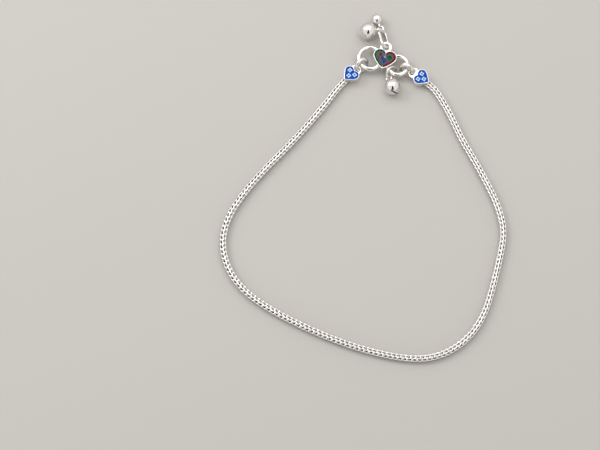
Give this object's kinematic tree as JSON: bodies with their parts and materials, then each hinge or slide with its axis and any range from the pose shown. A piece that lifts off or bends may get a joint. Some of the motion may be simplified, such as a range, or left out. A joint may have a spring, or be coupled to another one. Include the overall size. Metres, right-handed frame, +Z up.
{
  "type": "payal anklet",
  "caption": "Woven silver chain anklet lying closed, with blue enamelled end hearts, an S-hook clasp carrying a meenakari heart, and small round bells.",
  "frame": {"origin": "on the surface that the anklet lies on, under the middle of its bounding box", "axes": "+Z up from the surface, +Y along the loop's longer way, towards the clasp, +X to the right as seen from above with the clasp away from the viewer"},
  "size_m": [0.0859, 0.1091, 0.0053],
  "materials": {
    "silver": "polished sterling silver",
    "blue_enamel": "glossy fired enamel, cobalt with lighter streaks",
    "pale_blue_enamel": "glossy fired enamel",
    "green_enamel": "glossy fired enamel",
    "red_enamel": "glossy fired enamel",
    "maroon_enamel": "glossy fired enamel",
    "blue_petal_enamel": "glossy fired enamel",
    "lavender_enamel": "glossy fired enamel",
    "lilac_enamel": "glossy fired enamel",
    "rose_enamel": "glossy fired enamel"
  },
  "bodies": {
    "root": {"chain": "silver", "left_end_heart": "silver", "right_end_heart": "silver", "left_end_ring": "silver", "right_end_ring": "silver", "clasp": "silver", "upper_bell_link": "silver", "lower_bell_ring": "silver", "large_upper_bell": "silver", "small_upper_bell": "silver", "lower_bell": "silver", "left_end_enamel": "blue_enamel", "right_end_enamel": "blue_enamel", "left_end_marks": "pale_blue_enamel", "right_end_marks": "pale_blue_enamel", "green_channel": "green_enamel", "red_channel": "red_enamel", "maroon_petal": "maroon_enamel", "small_maroon_petal": "maroon_enamel", "small_blue_petal": "blue_petal_enamel", "blue_petal": "blue_petal_enamel", "lavender_petal": "lavender_enamel", "lilac_petal": "lilac_enamel", "green_petal": "green_enamel", "rose_petal": "rose_enamel"}
  },
  "joints": []
}
